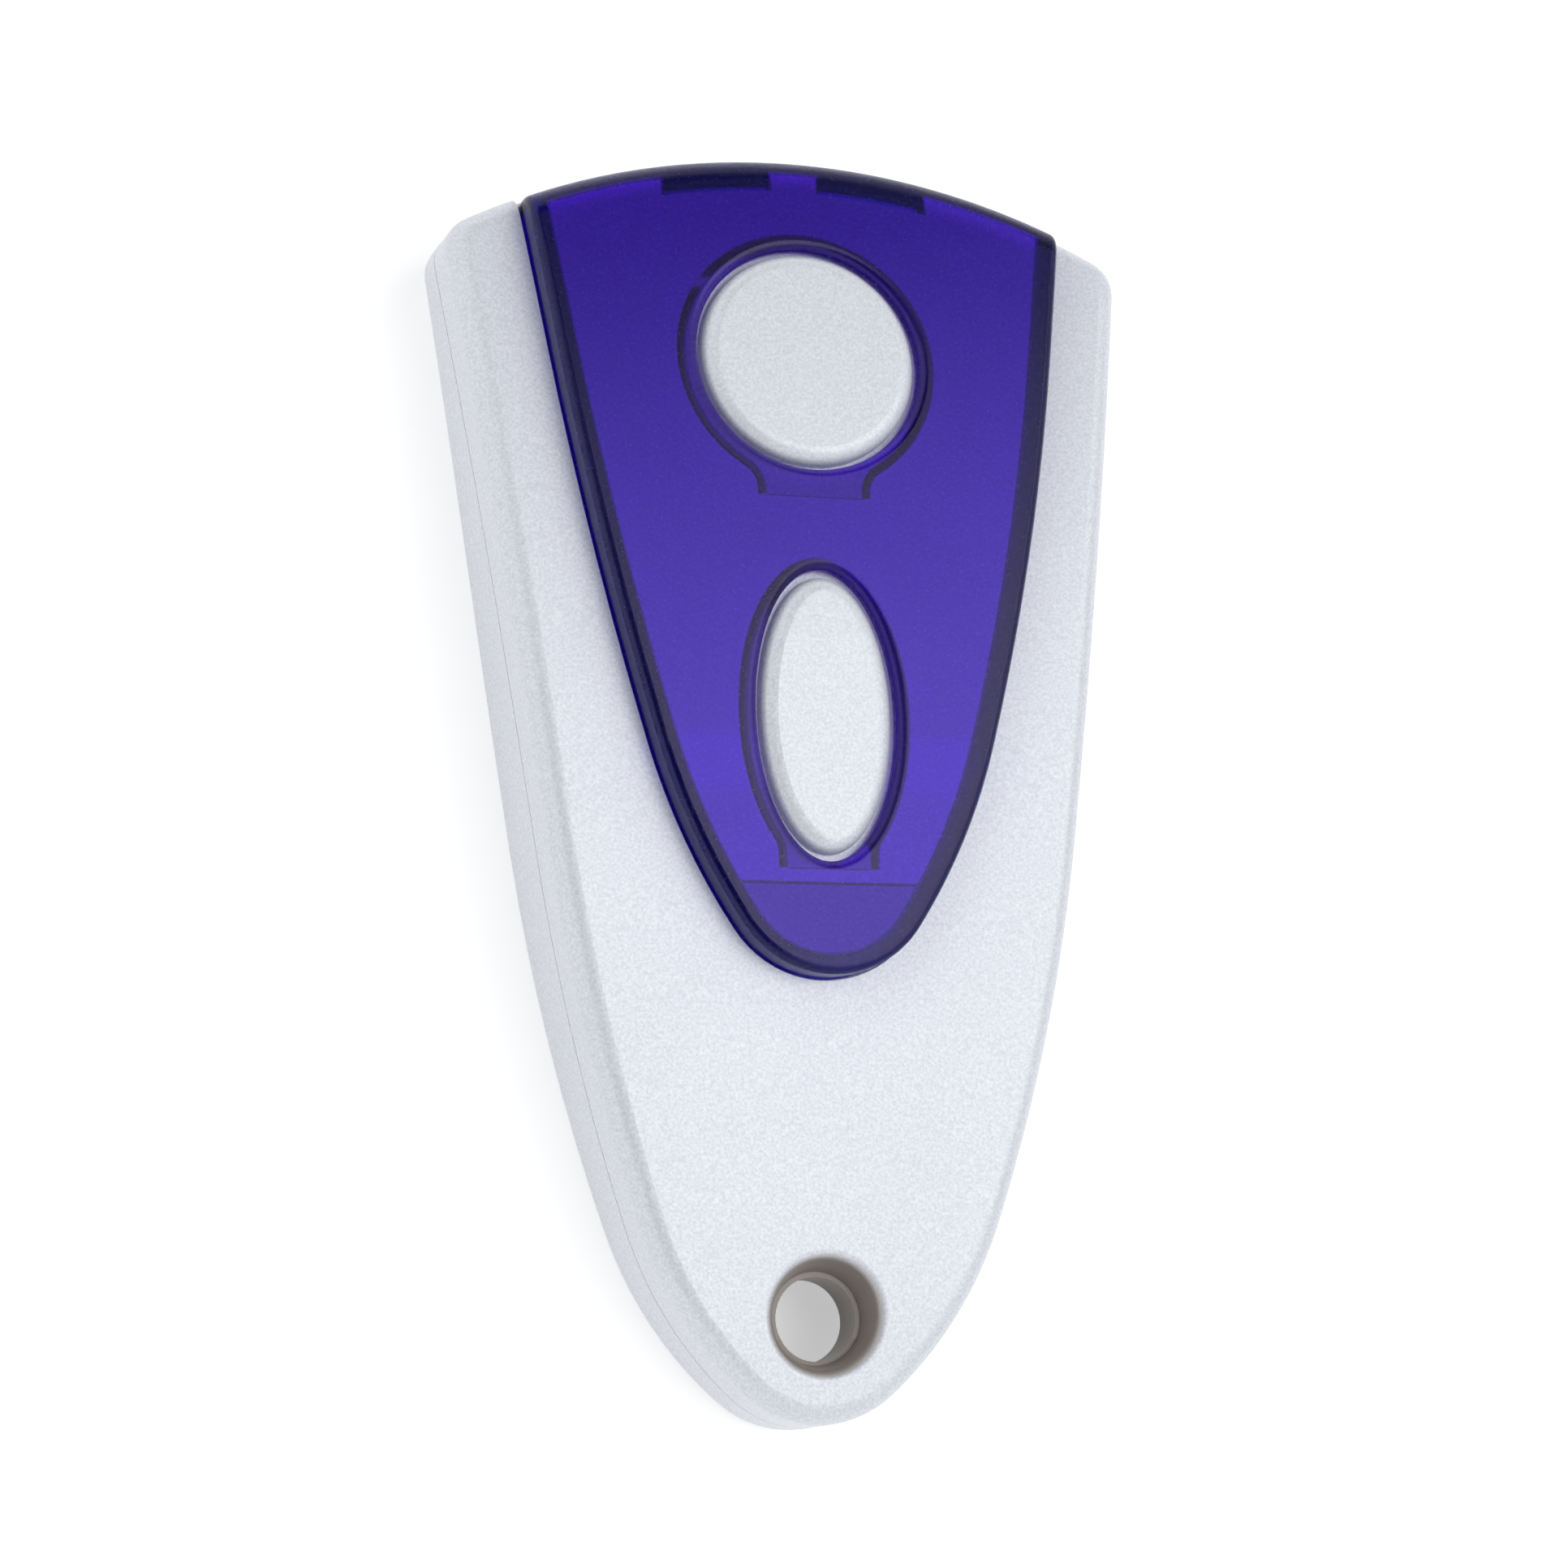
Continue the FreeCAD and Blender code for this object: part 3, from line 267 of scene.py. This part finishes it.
def pearl_white(name, share):
    """Satin white plastic with a fine pearl grain, a faint blue cast and shade painted on the key
    ring hole's walls.
    """
    material, tree, output = new_material(name)
    fine = noise(tree, PEARL_GRAIN["scale"])
    broad = noise(tree, PEARL_DRIFT, DRIFT_DETAIL)
    grain = tint(tree, fine, PEARL_GRAIN)
    # Painted shade: the key ring hole's walls take a dark brown-grey in place of the pearl grain
    principled(tree, output, base_color=mixed(tree, outside_painted_hole_shade(tree), HOLE_PAINTED_SHADE, grain),
               roughness=between(tree, broad, *PEARL_ROUGHNESS),
               normal=bump(tree, fine, PEARL_DEPTH), metallic=share)
    return material


def violet_clear():
    """Blue-violet plastic that passes light, satin on top and deeper where it is thick."""
    material, tree, output = new_material("violet_clear")
    fine = noise(tree, SATIN_SCALE)
    broad = noise(tree, VIOLET_DRIFT["scale"], DRIFT_DETAIL)
    colour = tint(tree, broad, VIOLET_DRIFT)
    glass = principled(tree, output, base_color=colour, normal=bump(tree, fine, SATIN_DEPTH),
                       roughness=between(tree, fine, *SATIN_ROUGHNESS),
                       transmission_weight=1.0, ior=VIOLET_IOR, specular_tint=VIOLET_SHINE)
    passed = coloured(tree, "BsdfTransparent", VIOLET_SHADOW)
    shadow = node(tree, "LightPath").outputs["Is Shadow Ray"]
    surface = mixed_shaders(tree, shadow, glass.outputs["BSDF"], passed.outputs["BSDF"])
    feed(tree, output.inputs["Surface"], surface)
    most = max(VIOLET_TAKES)
    left = [1 - taken / most for taken in VIOLET_TAKES]
    body = coloured(tree, "VolumeAbsorption", (*left, 1))
    body.inputs["Density"].default_value = most
    feed(tree, output.inputs["Volume"], body.outputs["Volume"])
    return material


def plastic(name, dark, light, roughness):
    """Plain moulded plastic with a little grain."""
    material, tree, output = new_material(name)
    fine = noise(tree, PLASTIC_SCALE)
    low, high = roughness - PLASTIC_SPREAD, roughness + PLASTIC_SPREAD
    principled(tree, output, base_color=tint(tree, fine, {"dark": dark, "light": light}),
               roughness=between(tree, fine, low, high),
               normal=bump(tree, fine, PLASTIC_DEPTH))
    return material


def metal(name, dark, light, roughness):
    """Rolled or plated metal with fine scratches along one way."""
    material, tree, output = new_material(name)
    stretch = node(tree, "Mapping", scale=METAL_STRETCH)
    feed(tree, stretch.inputs["Vector"], object_point(tree))
    scratches = node(tree, "TexNoise", scale=METAL_SCALE, detail=SCRATCH_DETAIL)
    feed(tree, scratches.inputs["Vector"], stretch.outputs["Vector"])
    fine = scratches.outputs["Fac"]
    low, high = roughness - METAL_SPREAD[0], roughness + METAL_SPREAD[1]
    principled(tree, output, base_color=tint(tree, fine, {"dark": dark, "light": light}),
               metallic=1.0, roughness=between(tree, fine, low, high),
               normal=bump(tree, fine, METAL_DEPTH))
    return material


def board_green():
    """Green solder mask with paler tracks under it."""
    material, tree, output = new_material("board_green")
    cells = node(tree, "TexVoronoi", scale=BOARD["scale"], feature="DISTANCE_TO_EDGE")
    feed(tree, cells.inputs["Vector"], object_point(tree))
    tracks = between(tree, cells.outputs["Distance"], 1.0, 0.0, *TRACK_EDGE)
    principled(tree, output, base_color=tint(tree, tracks, BOARD, 0.0, 1.0),
               roughness=BOARD_ROUGHNESS, normal=bump(tree, tracks, TRACK_HEIGHT))
    return material


def red_lens():
    """Clear moulded resin with a red tint."""
    material, tree, output = new_material("lens")
    fine = noise(tree, LENS["scale"])
    principled(tree, output, base_color=tint(tree, fine, LENS),
               roughness=between(tree, fine, *LENS_ROUGHNESS),
               transmission_weight=LENS_CLEAR, ior=LENS_IOR)
    return material


def dress():
    """Give each node its slot's material, and the plate under the cover its own white."""
    finishes = {"pearl_white": pearl_white("pearl_white", PEARL_SHARE),
                "violet_clear": violet_clear(), "board_green": board_green(), "lens": red_lens()}
    for name, values in PLASTICS.items():
        finishes[name] = plastic(name, *values)
    for name, values in METALS.items():
        finishes[name] = metal(name, *values)
    special = {"button_plate": pearl_white("pearl_frame", FRAME_PEARL_SHARE)}
    slots = {part["node"]: part["material_slot"] for part in frame["record"]["subparts"]}
    for name, item in nodes.items():
        for slot in item.material_slots:
            slot.link = "OBJECT"
            slot.material = special.get(name, finishes[slots[name]])


# Floor and light

def seen_directly(tree):
    """One for rays that should see the plain white background."""
    path = node(tree, "LightPath")
    seen = combined(tree, "MAXIMUM", path.outputs["Is Camera Ray"], path.outputs["Is Glossy Ray"])
    return combined(tree, "MAXIMUM", seen, path.outputs["Is Transmission Ray"])


def solid_floor(tree):
    """One where the floor is there: from above, and not for the light on the part's own back."""
    above = combined(tree, "SUBTRACT", 1.0, node(tree, "NewGeometry").outputs["Backfacing"])
    path = node(tree, "LightPath")
    far = combined(tree, "GREATER_THAN", path.outputs["Ray Length"], CONTACT_REACH)
    later = combined(tree, "GREATER_THAN", path.outputs["Ray Depth"], PAST_FIRST_BOUNCE)
    return combined(tree, "MULTIPLY", above, combined(tree, "MAXIMUM", far, later))


def make_floor():
    """A pale floor that reads as white where nothing shades it, and is clear from below."""
    mesh = bpy.data.meshes.new("floor")
    corners = [(x * FLOOR_HALF, y * FLOOR_HALF, -FLOOR_DROP)
               for x, y in ((-1, -1), (1, -1), (1, 1), (-1, 1))]
    mesh.from_pydata(corners, [], [(0, 1, 2, 3)])
    item = bpy.data.objects.new("floor", mesh)
    bpy.context.scene.collection.objects.link(item)
    material, tree, output = new_material("floor")
    plain = coloured(tree, "BsdfDiffuse", FLOOR_COLOUR)
    glow = coloured(tree, "Emission", WHITE)
    level = combined(tree, "MULTIPLY", seen_directly(tree), FLOOR_GLOW)
    feed(tree, glow.inputs["Strength"], level)
    both = node(tree, "AddShader")
    feed(tree, both.inputs[0], plain.outputs["BSDF"])
    feed(tree, both.inputs[1], glow.outputs["Emission"])
    clear = node(tree, "BsdfTransparent")
    surface = mixed_shaders(tree, solid_floor(tree), clear.outputs["BSDF"], both.outputs["Shader"])
    feed(tree, output.inputs["Surface"], surface)
    mesh.materials.append(material)


def toward(tree, ray, patch):
    """The patch's level in its middle, down to zero at its outer angle."""
    middle = Vector(patch["direction"]).normalized()
    facing = vectors(tree, "DOT_PRODUCT", ray, middle).outputs["Value"]
    level = node(tree, "MapRange", interpolation_type="SMOOTHSTEP", to_max=patch["level"],
                 from_min=math.cos(math.radians(patch["outer"])),
                 from_max=math.cos(math.radians(patch["inner"])))
    feed(tree, level.inputs["Value"], facing)
    return level.outputs["Result"]


def make_world():
    """A white backdrop, and the studio's dome for every ray that isn't the camera's own."""
    world = bpy.data.worlds.new("studio")
    bpy.context.scene.world = world
    world.use_nodes = True
    tree = world.node_tree
    tree.nodes.clear()
    output = node(tree, "OutputWorld")
    ray = node(tree, "TexCoord").outputs["Generated"]
    lean = vectors(tree, "DOT_PRODUCT", ray, AMBIENT_LEAN).outputs["Value"]
    light = combined(tree, "ADD", lean, AMBIENT)
    for patch in DARK_PATCHES:
        kept = combined(tree, "SUBTRACT", 1.0, toward(tree, ray, patch))
        light = combined(tree, "MULTIPLY", light, kept)
    light = combined(tree, "ADD", light, toward(tree, ray, SOFT_BOX))
    camera = node(tree, "LightPath").outputs["Is Camera Ray"]
    sky = coloured(tree, "Background", WHITE)
    feed(tree, sky.inputs["Strength"], between(tree, camera, light, BACKDROP, 0.0, 1.0))
    feed(tree, output.inputs["Surface"], sky.outputs["Background"])


bpy.context.scene.view_settings.view_transform = "Standard"
make_camera()
make_world()
make_floor()
dress()
